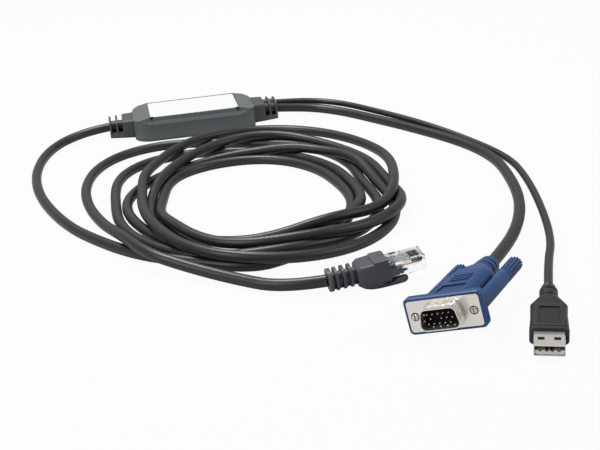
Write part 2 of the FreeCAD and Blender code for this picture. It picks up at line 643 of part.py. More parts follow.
plug = box(plug_start, plug_end, -plug_half, plug_half, -plug_half_height, plug_half_height)
corner_edges = [e for e in plug.Edges if abs(e.tangentAt(e.FirstParameter).x) > 0.99]
plug = plug.makeFillet(0.35, corner_edges)
jacket_end = plug_start + 7.4
cavity = box(plug_start - 1, jacket_end, -3.9, 3.9, -2.3, 2.3)
throat = box(jacket_end - 0.1, jacket_end + 3.4, -4.5, 4.5, -0.9, 1.7)
plug = plug.cut(cavity).cut(throat)
wire_radius = 0.45
lane_z = 0.6
contact_xs = (plug_end - 6.2, plug_end - 1.2)
wires, blades = [], []
for k in range(8):
    y = (k - 3.5) * contact_pitch
    lane = rod(wire_radius, V(jacket_end, y, lane_z), V(plug_end - 1.6, y, lane_z))
    plug = plug.cut(lane)
    wires.append(rod(wire_radius - 0.02, V(jacket_end, y, lane_z), V(plug_end - 1.7, y, lane_z)))
    blade_slot = box(contact_xs[0], contact_xs[1] + 2, y - 0.28, y + 0.28,
                     lane_z + wire_radius, plug_half_height + 1)
    plug = plug.cut(blade_slot)
    blades.append(box(contact_xs[0], contact_xs[1], y - 0.22, y + 0.22, lane_z + wire_radius,
                      plug_half_height - 0.55))
# the wedge that presses on the jacket, seen as a slot from below
plug = plug.cut(box(plug_start + 5.2, plug_start + 8.2, -3.2, 3.2, -5, -plug_half_height + 0.6))
save("rj45_plug", placed_along_x(plug, boot_place))
save("rj45_contacts", placed_along_x(Part.makeCompound(blades), boot_place))
save("rj45_wires", placed_along_x(Part.makeCompound(wires), boot_place))
jacket = rod(jacket_r, V(0, 0, 0), V(plug_start, 0, 0))
flat = loft("x", [(plug_start - 0.01, -jacket_r, jacket_r, -2.25, 2.25, 2.0),
                  (plug_start + 1.5, -3.6, 3.6, -2.2, 2.2, 2.0),
                  (jacket_end, -3.7, 3.7, -2.0, 2.0, 1.8)])
save("rj45_jacket_end", placed_along_x(jacket.fuse(flat), boot_place))

latch_root = plug_end - 2.2
gap = 0.3
under = -plug_half_height
latch_line = [(latch_root + 1.0, under - gap), (latch_root + 1.2, under - gap - 0.8),
              (latch_root - 5.0, under - 1.6), (latch_root - 5.3, under - 1.9),
              (latch_root - 15.0, under - 2.4), (latch_root - 15.2, under - 1.6),
              (latch_root - 4.6, under - 0.9), (latch_root - 1.2, under - gap)]
latch = prism("y", latch_line, -latch_half, 2 * latch_half)
narrow = latch_half - 1.4
rear_cut = box(latch_root - 30, latch_root - 5.3, narrow, 9, -12, 0)
latch = latch.cut(rear_cut).cut(rear_cut.mirror(V(0, 0, 0), V(0, 1, 0)))
save("rj45_latch", placed_along_x(latch, boot_place))

# ---------------------------------------------------------------- cables
video_spot = placed(Part.Vertex(V(0, video_exit, 0)), video_place).Point
usb_spot = placed(Part.Vertex(V(0, usb_exit, 0)), usb_place).Point
save("network_cable_lead", cable("network lead", network_lead_route, network_diameter))
save("network_cable_tail", cable("network tail", network_tail_route, network_diameter))
save("vga_cable", cable("video cable", video_route + [tuple(video_spot)], video_diameter))
save("usb_cable", cable("usb cable", usb_route + [tuple(usb_spot)], usb_diameter))


def oval(offset):
    """The coil's oval plan, moved out by offset: two end arcs joined by two flatter side arcs."""
    end_centre = coil_mid_y - coil_end_radius
    flat = (end_centre ** 2 + coil_mid_x ** 2 - coil_end_radius ** 2) / (
        2 * (coil_mid_x - coil_end_radius))
    side_centre = flat - coil_mid_x
    tilt = math.atan2(end_centre, side_centre)
    r, big = coil_end_radius + offset, flat + offset
    x, y = big * math.cos(tilt) - side_centre, big * math.sin(tilt)
    top, side = V(0, end_centre + r, 0), V(coil_mid_x + offset, 0, 0)
    arcs = [Part.Arc(V(x, y, 0), top, V(-x, y, 0)), Part.Arc(V(-x, y, 0), -side, V(-x, -y, 0)),
            Part.Arc(V(-x, -y, 0), -top, V(x, -y, 0)), Part.Arc(V(x, -y, 0), side, V(x, y, 0))]
    return Part.Face(Part.Wire([arc.toShape() for arc in arcs])).extrude(V(0, 0, coil_height))


coil = oval(coil_half_width).cut(oval(-coil_half_width))
rims = [e for e in coil.Edges if abs(e.BoundBox.ZMax - e.BoundBox.ZMin) < 0.01]
coil = coil.makeFillet(coil_edge, rims)
coil.rotate(V(0, 0, 0), V(0, 0, 1), coil_turn)
coil.translate(V(coil_centre[0], coil_centre[1], 0))
save("network_cable_coil", coil)
print("video exit", tuple(round(c, 2) for c in video_spot), "usb exit",
      tuple(round(c, 2) for c in usb_spot))
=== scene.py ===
import math

import bmesh
import bpy
import numpy as np
from mathutils import Matrix, Vector


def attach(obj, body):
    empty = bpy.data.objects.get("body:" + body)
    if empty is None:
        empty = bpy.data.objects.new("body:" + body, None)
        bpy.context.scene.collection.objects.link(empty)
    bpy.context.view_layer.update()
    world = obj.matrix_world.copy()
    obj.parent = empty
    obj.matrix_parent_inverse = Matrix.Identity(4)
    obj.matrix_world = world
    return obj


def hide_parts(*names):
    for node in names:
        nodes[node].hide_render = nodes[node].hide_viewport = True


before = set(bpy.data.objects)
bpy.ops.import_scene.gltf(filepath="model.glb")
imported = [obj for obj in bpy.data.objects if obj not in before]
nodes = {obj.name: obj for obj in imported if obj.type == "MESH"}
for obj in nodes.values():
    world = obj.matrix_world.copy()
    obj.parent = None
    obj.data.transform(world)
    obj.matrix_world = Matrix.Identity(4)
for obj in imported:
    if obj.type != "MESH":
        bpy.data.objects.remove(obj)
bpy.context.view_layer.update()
mm = 0.001
print("frame loaded:", len(nodes), "nodes")


def newGroup(name, inputs, outputs):
    # an empty shader group with its named sockets, and its input and output nodes
    group = bpy.data.node_groups.new(name, "ShaderNodeTree")
    for label, kind, value in inputs:
        socket = group.interface.new_socket(name=label, in_out="INPUT", socket_type=kind)
        socket.default_value = value
    for label, kind in outputs:
        group.interface.new_socket(name=label, in_out="OUTPUT", socket_type=kind)
    start = group.nodes.new("NodeGroupInput")
    end = group.nodes.new("NodeGroupOutput")
    return group, start, end


grainShape = {"detail": 3.0, "height": 0.0002, "patchDetail": 4.0}


def makeGrainGroup():
    # fine moulded grain: a normal, and a mask of slow uneven patches
    group, start, end = newGroup(
        "mouldedGrain",
        [("Scale", "NodeSocketFloat", 900.0), ("Depth", "NodeSocketFloat", 0.1),
         ("Patch Scale", "NodeSocketFloat", 40.0)],
        [("Normal", "NodeSocketVector"), ("Patches", "NodeSocketFloat")])
    add, link = group.nodes.new, group.links.new
    where = add("ShaderNodeTexCoord")
    grain = add("ShaderNodeTexNoise")
    grain.inputs["Detail"].default_value = grainShape["detail"]
    link(where.outputs["Object"], grain.inputs["Vector"])
    link(start.outputs["Scale"], grain.inputs["Scale"])
    bump = add("ShaderNodeBump")
    bump.inputs["Distance"].default_value = grainShape["height"]
    link(start.outputs["Depth"], bump.inputs["Strength"])
    link(grain.outputs["Fac"], bump.inputs["Height"])
    link(bump.outputs["Normal"], end.inputs["Normal"])
    patches = add("ShaderNodeTexNoise")
    patches.inputs["Detail"].default_value = grainShape["patchDetail"]
    link(where.outputs["Object"], patches.inputs["Vector"])
    link(start.outputs["Patch Scale"], patches.inputs["Scale"])
    link(patches.outputs["Fac"], end.inputs["Patches"])
    return group


# where the painted highlight along outside edges begins and where it is full
edgeHighlightShape = {"begins": 0.52, "full": 0.62}  # as pointiness, 0.5 on a flat face


def makeEdgeHighlightGroup():
    # a mask that is 1 along outside edges, where a painted highlight lightens the finish
    group, _, end = newGroup("paintedEdgeHighlight", [], [("Edges", "NodeSocketFloat")])
    add, link = group.nodes.new, group.links.new
    shape = add("ShaderNodeNewGeometry")
    ramp = add("ShaderNodeValToRGB")
    ramp.color_ramp.elements[0].position = edgeHighlightShape["begins"]
    ramp.color_ramp.elements[1].position = edgeHighlightShape["full"]
    link(shape.outputs["Pointiness"], ramp.inputs["Fac"])
    link(ramp.outputs["Color"], end.inputs["Edges"])
    return group


# how far the painted shade in crevices reaches and how dark it is painted
paintedCreviceShade = {"reach": 5 * mm, "rays": 8, "open": 0.75, "closed": 0.1,
                "dark": (0.002, 0.002, 0.002)}


def makePaintedShadeGroup():
    # a mask that is 1 deep between close surfaces, where little light gets in, for painted shade
    group, start, end = newGroup(
        "shadedCrevices", [("Depth", "NodeSocketFloat", 0.5)],
        [("Crevices", "NodeSocketFloat")])
    add, link = group.nodes.new, group.links.new
    shade = add("ShaderNodeAmbientOcclusion")
    shade.samples = paintedCreviceShade["rays"]
    shade.inputs["Distance"].default_value = paintedCreviceShade["reach"]
    deep = add("ShaderNodeMapRange")
    deep.inputs["From Min"].default_value = paintedCreviceShade["open"]
    deep.inputs["From Max"].default_value = paintedCreviceShade["closed"]
    link(shade.outputs["AO"], deep.inputs["Value"])
    weight = add("ShaderNodeMath")
    weight.operation = "MULTIPLY"
    link(deep.outputs["Result"], weight.inputs[0])
    link(start.outputs["Depth"], weight.inputs[1])
    link(weight.outputs["Value"], end.inputs["Crevices"])
    return group


grainGroup = makeGrainGroup()
edgeHighlightGroup = makeEdgeHighlightGroup()
paintedShadeGroup = makePaintedShadeGroup()


def placeGroup(tree, group, values):
    # one use of a shader group in a material, with its own values
    placed = tree.nodes.new("ShaderNodeGroup")
    placed.node_tree = group
    for label, value in values.items():
        placed.inputs[label].default_value = value
    return placed


def colourMix(tree):
    # sockets of a new colour mix: share, first colour, second colour, result
    mix = tree.nodes.new("ShaderNodeMix")
    mix.data_type = "RGBA"
    return mix.inputs[0], mix.inputs[6], mix.inputs[7], mix.outputs[2]


def newMaterial(name):
    # an empty material, its node tree and its main shader
    material = bpy.data.materials.new(name)
    material.use_nodes = True
    return material, material.node_tree, material.node_tree.nodes["Principled BSDF"]


def paintCreviceShade(tree, target, depth):
    # puts a mix in front of target that paints shade, near to black, into crevices, and gives back
    # its socket for the open colour
    crevices = placeGroup(tree, paintedShadeGroup, {"Depth": depth})
    share, inOpen, deepInside, result = colourMix(tree)
    deepInside.default_value = (*paintedCreviceShade["dark"], 1)
    tree.links.new(crevices.outputs["Crevices"], share)
    tree.links.new(result, target)
    return inOpen


def addGrain(tree, shader, look, roughness):
    # moulded or ground grain on the normal, and a roughness that drifts between two values
    grain = placeGroup(tree, grainGroup, {"Scale": look["grainScale"], "Depth": look["grainDepth"],
                                          "Patch Scale": look["patchScale"]})
    rough = tree.nodes.new("ShaderNodeMapRange")
    rough.inputs["To Min"].default_value, rough.inputs["To Max"].default_value = roughness
    tree.links.new(grain.outputs["Patches"], rough.inputs["Value"])
    tree.links.new(rough.outputs["Result"], shader.inputs["Roughness"])
    tree.links.new(grain.outputs["Normal"], shader.inputs["Normal"])
    return grain


# the edge lift or edge colour sets a painted highlight along outside edges, the crevice depth the
# strength of painted shade in crevices
mouldedUsual = {"grainScale": 900.0, "grainDepth": 0.1, "patchScale": 40.0, "patchiness": 0.08,
                "roughnessDrift": 0.05, "edgeHighlightLift": 1.35, "paintedShadeDepth": 0.8, "ior": 1.5}


def mouldedMaterial(name, look):
    # one plastic or rubber finish: base colour, slow patches, edges lightened as a painted
    # highlight, painted shade in crevices, fine grain
    look = {**mouldedUsual, **look}
    material, tree, shader = newMaterial(name)
    link = tree.links.new
    grain = addGrain(tree, shader, look, (look["roughness"] - look["roughnessDrift"],
                                          look["roughness"] + look["roughnessDrift"]))
    edges = placeGroup(tree, edgeHighlightGroup, {})
    colour = look["colour"]
    patchShare, darker, lighter, patched = colourMix(tree)
    darker.default_value = (*[c * (1.0 - look["patchiness"]) for c in colour], 1)
    lighter.default_value = (*[c * (1.0 + look["patchiness"]) for c in colour], 1)
    link(grain.outputs["Patches"], patchShare)
    # painted highlight: the colour is lightened along outside edges
    edgeShare, inside, atEdge, finished = colourMix(tree)
    atEdge.default_value = (*look.get("edgeHighlightColour", [c * look["edgeHighlightLift"] for c in colour]), 1)
    link(patched, inside)
    link(edges.outputs["Edges"], edgeShare)
    # painted shade: the colour goes near to black in crevices
    link(finished, paintCreviceShade(tree, shader.inputs["Base Color"], look["paintedShadeDepth"]))
    shader.inputs["IOR"].default_value = look["ior"]
    return material


# the crevice depth sets the strength of painted shade in the metal's crevices
metalUsual = {"metal": 1.0, "grainScale": 1500.0, "grainDepth": 0.04, "patchScale": 120.0,
              "roughnessDrift": 0.3, "paintedShadeDepth": 0.8}


def metalMaterial(name, look):
    # plated or bare metal with slow changes of polish, and painted shade in its crevices
    look = {**metalUsual, **look}
    material, tree, shader = newMaterial(name)
    # painted shade: the colour goes near to black in crevices
    openColour = paintCreviceShade(tree, shader.inputs["Base Color"], look["paintedShadeDepth"])
    openColour.default_value = (*look["colour"], 1)
    shader.inputs["Metallic"].default_value = look["metal"]
    addGrain(tree, shader, look, (look["roughness"] * (1 - look["roughnessDrift"]),
                                  look["roughness"] * (1 + look["roughnessDrift"])))
    return material


def clearMaterial(name, look):
    # clear moulded polycarbonate
    material, _, shader = newMaterial(name)
    shader.inputs["Base Color"].default_value = (*look["colour"], 1)
    shader.inputs["Roughness"].default_value = look["roughness"]
    shader.inputs["IOR"].default_value = look["ior"]
    shader.inputs["Transmission Weight"].default_value = 1.0
    return material


roundingShape = {"segments": 2, "sharperThan": 38}  # only edges that turn by more degrees


def dress(nodeName, material, softEdge=0.0):
    # gives a CAD node its finish and, if asked, slightly rounded edges
    piece = nodes[nodeName]
    piece.data.materials.clear()
    piece.data.materials.append(material)
    for face in piece.data.polygons:
        face.material_index = 0
    if softEdge:
        rounding = piece.modifiers.new("softEdge", "BEVEL")
        rounding.width = softEdge * mm
        rounding.segments = roundingShape["segments"]
        rounding.limit_method = "ANGLE"
        rounding.angle_limit = math.radians(roundingShape["sharperThan"])
        rounding.harden_normals = True
    return piece


# in-line housing: its outer shells, then what it holds inside
housingLook = {"colour": (0.098, 0.11, 0.112), "roughness": 0.42, "grainDepth": 0.12,
               "grainScale": 1400.0, "patchiness": 0.05, "ior": 1.46}
reliefLook = {"colour": (0.07, 0.078, 0.08), "roughness": 0.52, "grainDepth": 0.1,
              "patchiness": 0.06, "ior": 1.46}
labelLook = {"colour": (0.86, 0.86, 0.86), "roughness": 0.35, "grainDepth": 0.02,
             "patchiness": 0.01, "edgeHighlightColour": (0.86, 0.86, 0.86), "paintedShadeDepth": 0.0}
housingGrey = mouldedMaterial("housingGrey", housingLook)
reliefGrey = mouldedMaterial("reliefGrey", reliefLook)
labelWhite = mouldedMaterial("labelWhite", labelLook)
dress("housing_base", housingGrey, 0.35)
dress("housing_cover", housingGrey, 0.35)
dress("label", labelWhite)
dress("network_strain_relief", reliefGrey, 0.3)
dress("computer_strain_relief", reliefGrey, 0.3)

boardGreen = mouldedMaterial("boardGreen", {"colour": (0.02, 0.16, 0.06), "roughness": 0.3})
chipBlack = mouldedMaterial("chipBlack", {"colour": (0.015, 0.015, 0.017), "roughness": 0.45})
crystalSteel = metalMaterial("crystalSteel", {"colour": (0.7, 0.7, 0.7), "roughness": 0.3})
capacitorMetal = metalMaterial("capacitorMetal", {"colour": (0.75, 0.75, 0.76),
                                                  "roughness": 0.35})
headerWhite = mouldedMaterial("headerWhite", {"colour": (0.75, 0.73, 0.65), "roughness": 0.5})
dress("circuit_board", boardGreen)
for chipName in ("processor_chip", "video_chips", "network_transformer"):
    dress(chipName, chipBlack)
dress("clock_crystal", crystalSteel)
dress("capacitors", capacitorMetal)
for headerName in ("network_wire_header", "computer_wire_header"):
    dress(headerName, headerWhite)

# painted shadow plates in the notch mouths, in millimetres: "reach" from the housing's middle to a
# mouth's middle, "near" its near side, "sunk" and "top" the heights of its plate
notchShadowLook = {"reach": 28.1, "near": -19.9, "size": (2.4, 2.6), "corner": 0.6,
             "sunk": 15.1, "top": 15.215, "cornerSteps": 3, "colour": (0.006, 0.006, 0.006),
             "roughness": 0.9}


def roundedPlate(mesh, middle, look):
    # adds a small upright prism with rounded corners to a bmesh
    ring = []
    for k, (sx, sy) in enumerate([(1, 1), (-1, 1), (-1, -1), (1, -1)]):
        for step in range(look["cornerSteps"] + 1):
            turn = math.radians(90 * (k + step / look["cornerSteps"]))
            ring.append((middle[0] + sx * (look["size"][0] / 2 - look["corner"])
                         + look["corner"] * math.cos(turn),
                         middle[1] + sy * (look["size"][1] / 2 - look["corner"])
                         + look["corner"] * math.sin(turn)))
    low = [mesh.verts.new((x * mm, y * mm, look["sunk"] * mm)) for x, y in ring]
    high = [mesh.verts.new((x * mm, y * mm, look["top"] * mm)) for x, y in ring]
    mesh.faces.new(high)
    mesh.faces.new(low[::-1])
    for k in range(len(ring)):
        j = (k + 1) % len(ring)
        mesh.faces.new((low[k], low[j], high[j], high[k]))


# black plates as painted shadow in the mouths of the two small notches in the cover, at the
# label's near corners
notchShadowMesh = bmesh.new()
for sx in (-1, 1):
    roundedPlate(notchShadowMesh, (sx * notchShadowLook["reach"],
                             notchShadowLook["near"] + notchShadowLook["size"][1] / 2), notchShadowLook)
notchShadowData = bpy.data.meshes.new("notchShadowPlates")
notchShadowMesh.to_mesh(notchShadowData)
notchShadowMesh.free()
notchShadowPlates = bpy.data.objects.new("notchShadowPlates", notchShadowData)
bpy.context.scene.collection.objects.link(notchShadowPlates)
notchShadowData.materials.append(mouldedMaterial(
    "notchPaintedShadow", {"colour": notchShadowLook["colour"], "roughness": notchShadowLook["roughness"]}))
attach(notchShadowPlates, "dongle")
print("housing dressed")

# the edge colour here is a painted highlight along the plug's edges
videoLook = {"colour": (0.012, 0.056, 0.18), "roughness": 0.4, "grainDepth": 0.08,
             "patchiness": 0.1, "edgeHighlightColour": (0.03, 0.12, 0.3), "ior": 1.42}
plugBlue = mouldedMaterial("plugBlue", videoLook)
nickel = metalMaterial("nickel", {"colour": (0.93, 0.9, 0.84), "roughness": 0.22, "metal": 0.8})
pinMetal = metalMaterial("pinMetal", {"colour": (0.86, 0.83, 0.76), "roughness": 0.18})
screwSteel = metalMaterial("screwSteel", {"colour": (0.72, 0.7, 0.67), "roughness": 0.28})
insulatorBlack = mouldedMaterial("insulatorBlack", {"colour": (0.006, 0.0055, 0.0055),
                                                    "roughness": 0.55, "ior": 1.3})
dress("vga_overmould", plugBlue, 0.3)
dress("vga_front_shell", nickel, 0.12)
dress("vga_insulator", insulatorBlack)
dress("vga_pins", pinMetal)
for side in ("left", "right"):
    dress("vga_jackscrew_" + side, screwSteel, 0.08)
    dress("vga_thumb_knob_" + side, plugBlue, 0.1)
print("video plug dressed")

# the edge colour here is a painted highlight along the plug's edges
usbLook = {"colour": (0.015, 0.0155, 0.0165), "roughness": 0.4, "grainDepth": 0.08,
           "patchiness": 0.08, "edgeHighlightColour": (0.05, 0.05, 0.053), "ior": 1.42}
usbBlack = mouldedMaterial("usbBlack", usbLook)
tongueWhite = mouldedMaterial("tongueWhite", {"colour": (0.85, 0.85, 0.83),
                                              "roughness": 0.35})
contactGold = metalMaterial("contactGold", {"colour": (0.85, 0.62, 0.3), "roughness": 0.2})
dress("usb_overmould", usbBlack, 0.3)
dress("usb_shell", nickel, 0.08)
dress("usb_tongue", tongueWhite)
dress("usb_contacts", contactGold)
print("USB plug dressed")

# the edge colour here is a painted highlight along the boot's edges
bootLook = {"colour": (0.056, 0.062, 0.072), "roughness": 0.45, "grainDepth": 0.08,
            "patchiness": 0.08, "edgeHighlightColour": (0.1, 0.11, 0.125)}
bootGrey = mouldedMaterial("bootGrey", bootLook)
plugClear = clearMaterial("plugClear", {"colour": (0.93, 0.94, 0.95), "roughness": 0.06,
                                        "ior": 1.5})
jacketGrey = mouldedMaterial("jacketGrey", {"colour": (0.12, 0.12, 0.13), "roughness": 0.5})
dress("rj45_boot", bootGrey, 0.25)
dress("rj45_plug", plugClear)
dress("rj45_latch", plugClear)
dress("rj45_contacts", contactGold)
dress("rj45_jacket_end", jacketGrey)


def wireMaterial(look):
    # conductors side by side, each with its own colour across the plug
    material, tree, shader = newMaterial("wireColours")
    add, link = tree.nodes.new, tree.links.new
    colours = look["colours"]
    halfWidth = len(colours) / 2 * look["pitch"]
    shader.inputs["Roughness"].default_value = look["roughness"]
    where = add("ShaderNodeTexCoord")
    across = add("ShaderNodeVectorMath")
    across.operation = "DOT_PRODUCT"
    across.inputs[1].default_value = look["across"]
    link(where.outputs["Object"], across.inputs[0])
    share = add("ShaderNodeMapRange")
    share.inputs["From Min"].default_value = look["middle"] - halfWidth
    share.inputs["From Max"].default_value = look["middle"] + halfWidth
    link(across.outputs["Value"], share.inputs["Value"])
    ramp = add("ShaderNodeValToRGB")
    ramp.color_ramp.interpolation = "CONSTANT"
    while len(ramp.color_ramp.elements) < len(colours):
        ramp.color_ramp.elements.new(0.5)
    for k, colour in enumerate(colours):
        ramp.color_ramp.elements[k].position = k / len(colours)
        ramp.color_ramp.elements[k].color = (*colour, 1)
    link(share.outputs["Result"], ramp.inputs["Fac"])
    link(ramp.outputs["Color"], shader.inputs["Base Color"])
    return material


bootPlace = {"spot": (33.7, -286.3, 5.5), "turn": 1.5}  # millimetres, and degrees from +X
bootTurn = math.radians(bootPlace["turn"])
acrossPlug = Vector((-math.sin(bootTurn), math.cos(bootTurn), 0))
wireLook = {"across": acrossPlug, "middle": (Vector(bootPlace["spot"]) * mm).dot(acrossPlug),
            "pitch": 1.02 * mm, "roughness": 0.4,
            "colours": [(0.5, 0.35, 0.25), (0.6, 0.2, 0.03), (0.35, 0.5, 0.35),
                        (0.03, 0.08, 0.4), (0.4, 0.45, 0.6), (0.02, 0.25, 0.06),
                        (0.45, 0.36, 0.3), (0.12, 0.05, 0.02)]}
dress("rj45_wires", wireMaterial(wireLook))
print("network plug dressed")


def coilPoints(look):
    # walks round the coil, on a smooth line through the reach and height of each knot
    turn = math.radians(look["turn"])
    right = np.array([math.cos(turn), math.sin(turn), 0])
    back = np.array([-math.sin(turn), math.cos(turn), 0])
    reach = np.concatenate([t["reach"] for t in look["turns"]])
    height = np.concatenate([t["height"] for t in look["turns"]])
    knots = np.stack([reach, height], 1)
    points = []
    perKnot = look["pointsPerTurn"] // look["knotsPerTurn"]
    for i in range(len(knots) - 1):
        a, b = knots[max(i - 1, 0)], knots[i]
        c, d = knots[i + 1], knots[min(i + 2, len(knots) - 1)]
        for j in range(perKnot):
            t = j / perKnot
            r, z = 0.5 * (2 * b + (c - a) * t + (2 * a - 5 * b + 4 * c - d) * t ** 2
                          + (3 * b - a - 3 * c + d) * t ** 3)
            angle = 2 * math.pi * (i + t) / look["knotsPerTurn"]
            spot = (np.array([*look["centre"], 0]) + right * r * math.sin(angle)
                    - back * r * math.cos(angle))
            points.append(spot + [0, 0, max(z, look["floor"])])
    return np.array(points)


def eased(line, reach):
    # a row of places or small moves, each blended with its neighbours over about reach of them
    wide = int(3 * reach)
    share = np.exp(-0.5 * (np.arange(-wide, wide + 1) / reach) ** 2)
    padded = np.concatenate([2 * line[0] - line[wide:0:-1], line,
                             2 * line[-1] - line[-2:-wide - 2:-1]])
    return np.stack([np.convolve(padded[:, k], share / share.sum(), "valid")
                     for k in range(3)], 1)


def settle(home, around, look):
    # turns that would lie in each other, or in the rest of the cable around them, are moved
    # apart, mostly upwards, and nothing sinks into the floor
    place = np.arange(len(home))
    apart = np.abs(place[:, None] - place[None, :]) > look["skip"]
    inside = (place > look["skip"]) & (place < len(home) - look["skip"])
    apart = np.concatenate([apart, np.tile(inside[:, None], len(around))], 1)
    shift = np.zeros_like(home)
    for step in range(look["rounds"]):
        line = home + shift
        gap = line[:, None, :] - np.concatenate([line, around])[None, :, :]
        distance = np.sqrt((gap ** 2).sum(2)) + 1e-9
        near = apart & (distance < look["keepApart"])
        push = np.where(near, (look["keepApart"] - distance) / distance, 0)[:, :, None] * gap
        move = 0.5 * push.sum(1) / np.maximum(near.sum(1), 1)[:, None]
        move[:, :2] *= look["sideways"]
        shift += look["push"] * eased(move, look["blend"])
        shift[:, 2] -= look["weight"] * (home[:, 2] + shift[:, 2] - look["floor"])
        shift[:, 2] = np.maximum(shift[:, 2], look["floor"] - home[:, 2])
        if step % look["roundsPerEasing"] == 0:
            shift = eased(shift, look["blend"] / 2)
        shift[0] = shift[-1] = 0
    line = home + shift
    line[:, 2] = np.maximum(line[:, 2], look["floor"])
    return line


cableShape = {"stepsPerPoint": 10, "roundness": 5}


def cableCurve(name, points, diameter, material):
    # points in millimetres; one open NURBS spline with a round section
    data = bpy.data.curves.new(name, "CURVE")
    data.dimensions = "3D"
    spline = data.splines.new("NURBS")
    spline.points.add(len(points) - 1)
    for place, p in zip(spline.points, points):
        place.co = (p[0] * mm, p[1] * mm, p[2] * mm, 1)
    spline.order_u = 3
    spline.use_endpoint_u = True
    spline.resolution_u = cableShape["stepsPerPoint"]
    data.bevel_depth = diameter / 2
    data.bevel_resolution = cableShape["roundness"]
    data.use_fill_caps = True
    cable = bpy.data.objects.new(name, data)
    bpy.context.scene.collection.objects.link(cable)
    data.materials.append(material)
    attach(cable, "dongle")
    return cable


# the edge colour here is a painted highlight along the edges, kept close to the base colour
cableLook = {"colour": (0.0185, 0.019, 0.0205), "roughness": 0.39, "grainDepth": 0.05,
             "grainScale": 500.0, "patchScale": 60.0, "patchiness": 0.12, "ior": 1.5,
             "edgeHighlightColour": (0.019, 0.0195, 0.021)}
jacketBlack = mouldedMaterial("jacketBlack", cableLook)

# the points of each cable are in millimetres, its diameter and length in metres
networkCableLook = {
    "diameter": 0.0057, "length": 3.34,
    "lead": [(-56, 0, 7.0), (-64, -0.3, 6.3), (-75, -2.5, 5.0), (-85.5, -9.5, 3.8),
             (-93, -21, 3.1), (-98.3, -38, 3.0), (-101.3, -60, 3.0), (-101.6, -82, 3.0),
             (-99, -107, 3.0), (-93.3, -133, 3.0), (-84.5, -160, 3.0), (-73.5, -184, 3.0),
             (-50, -218, 3.0), (-24, -237.5, 3.0)],
    "tail": [(4, -49, 3.0), (-24, -43, 3.0), (-49, -52, 3.0), (-66, -75, 3.0),
             (-73, -108, 3.0), (-71, -142, 3.0), (-63, -176, 4.0), (-54.5, -205, 8.8),
             (-43, -234, 8.8), (-26, -247, 5.0), (-6, -264, 3.0), (14, -282.5, 3.3),
             (33.7, -286.3, 5.5)]}
# each turn: distance from the coil's centre and height at eight knots, from the front round
# by the right, the back and the left; the cable's spline gets one point in keptPoint
coilLook = {
    "centre": (20.0, -152.0), "turn": -8.45, "knotsPerTurn": 8, "pointsPerTurn": 96,
    "keptPoint": 3, "floor": 2.86,
    "turns": [
        {"reach": [104.5, 69.0, 47.0, 47.0, 58.0, 60.0, 51.0, 63.0],
         "height": [3.0, 3.0, 3.0, 3.0, 3.0, 3.0, 3.0, 9.0]},
        {"reach": [88.0, 94.0, 72.0, 78.5, 89.5, 63.0, 56.0, 66.0],
         "height": [10.0, 9.5, 9.5, 8.5, 10.5, 11.5, 7.5, 6.5]},
        {"reach": [73.5, 83.5, 76.5, 94.0, 113.5, 80.5, 61.5, 71.5],
         "height": [4.0, 11.0, 14.5, 11.0, 9.5, 12.0, 15.5, 13.5]},
        {"reach": [105.5, 95.5, 66.0, 64.5, 62.5, 67.0, 70.5, 73.5],
         "height": [9.0, 4.0, 3.0, 8.0, 8.5, 8.0, 7.5, 8.5]},
        {"reach": [91.0, 72.5, 52.5, 55.0, 72.5, 95.5, 76.0, 82.5],
         "height": [3.5, 6.5, 9.0, 6.5, 3.0, 3.0, 3.0, 3.0]},
        {"reach": [96.5, 84.0, 60.5, 70.0, 91.0],
         "height": [3.0, 3.5, 3.0, 3.0, 3.0]}]}
settleLook = {"keepApart": 5.85, "skip": 6, "rounds": 160, "roundsPerEasing": 3, "floor": 2.87,
              "sideways": 0.22, "push": 1.6, "blend": 2.0, "weight": 0.01, "round": 3.0,
              "sampledEvery": 0.2}

coil = coilPoints(coilLook)
# blended so that no knot shows as a kink, with the turns kept at their size
coil = eased(2 * coil - eased(coil, settleLook["round"]), settleLook["round"])
lead = np.array(networkCableLook["lead"], float)
tail = np.array(networkCableLook["tail"], float)
# places along the lead and the tail that the coil's turns keep off
stretches = [*zip(lead, [*lead[1:], coil[0]]), *zip([coil[-1], *tail[:-1]], tail)]
around = [a + (b - a) * share for a, b in stretches
          for share in np.arange(0, 1, settleLook["sampledEvery"])]
coil = settle(coil, np.array(around), settleLook)
route = np.concatenate([lead, coil[::coilLook["keptPoint"]], tail])
networkCable = cableCurve("networkCable", route, networkCableLook["diameter"], jacketBlack)
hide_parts("network_cable_lead", "network_cable_coil", "network_cable_tail")
print("network cable laid,", len(route), "points")

videoCableLook = {
    "diameter": 0.0058, "length": 0.353,
    "points": [(56, -2.5, 7.2), (71, -2.7, 5.8), (86, -7, 4.2), (99, -18, 3.2),
               (111, -36.5, 3.0), (133, -74, 3.0), (152, -113, 3.0), (159.5, -148, 3.0),
               (156, -182, 3.0), (149.5, -214, 3.0), (138.5, -243, 3.0), (122.3, -271.8, 3.9),
               (105.62, -295.92, 6.54)]}
videoCable = cableCurve("videoCable", videoCableLook["points"], videoCableLook["diameter"],
                        jacketBlack)
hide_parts("vga_cable")

usbCableLook = {
    "diameter": 0.0039, "length": 0.38,
    "points": [(56, 2.7, 9.6), (71, 3.1, 8.8), (87, -1, 7.8), (101, -12, 7.0),
               (114, -32, 6.6), (136.5, -70, 5.8), (156, -107, 3.0), (168, -148, 2.1),
               (164.5, -186, 2.1), (155, -232, 2.1), (144, -271, 2.4), (132.5, -295.3, 3.4),
               (122.41, -321.39, 4.05)]}
usbCable = cableCurve("usbCable", usbCableLook["points"], usbCableLook["diameter"],
                      jacketBlack)
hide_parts("usb_cable")
print("computer cables laid")

# "seenWhite" is how far the floor is whitened where it is seen, "mirrored" how far again
# where it is seen in a mirror; the drop keeps it clear of what stands on it
stageLook = {"size": 6.0, "drop": 0.1 * mm, "colour": (0.55, 0.55, 0.55), "roughness": 0.9,
             "seenWhite": 0.95, "mirrored": 0.3}


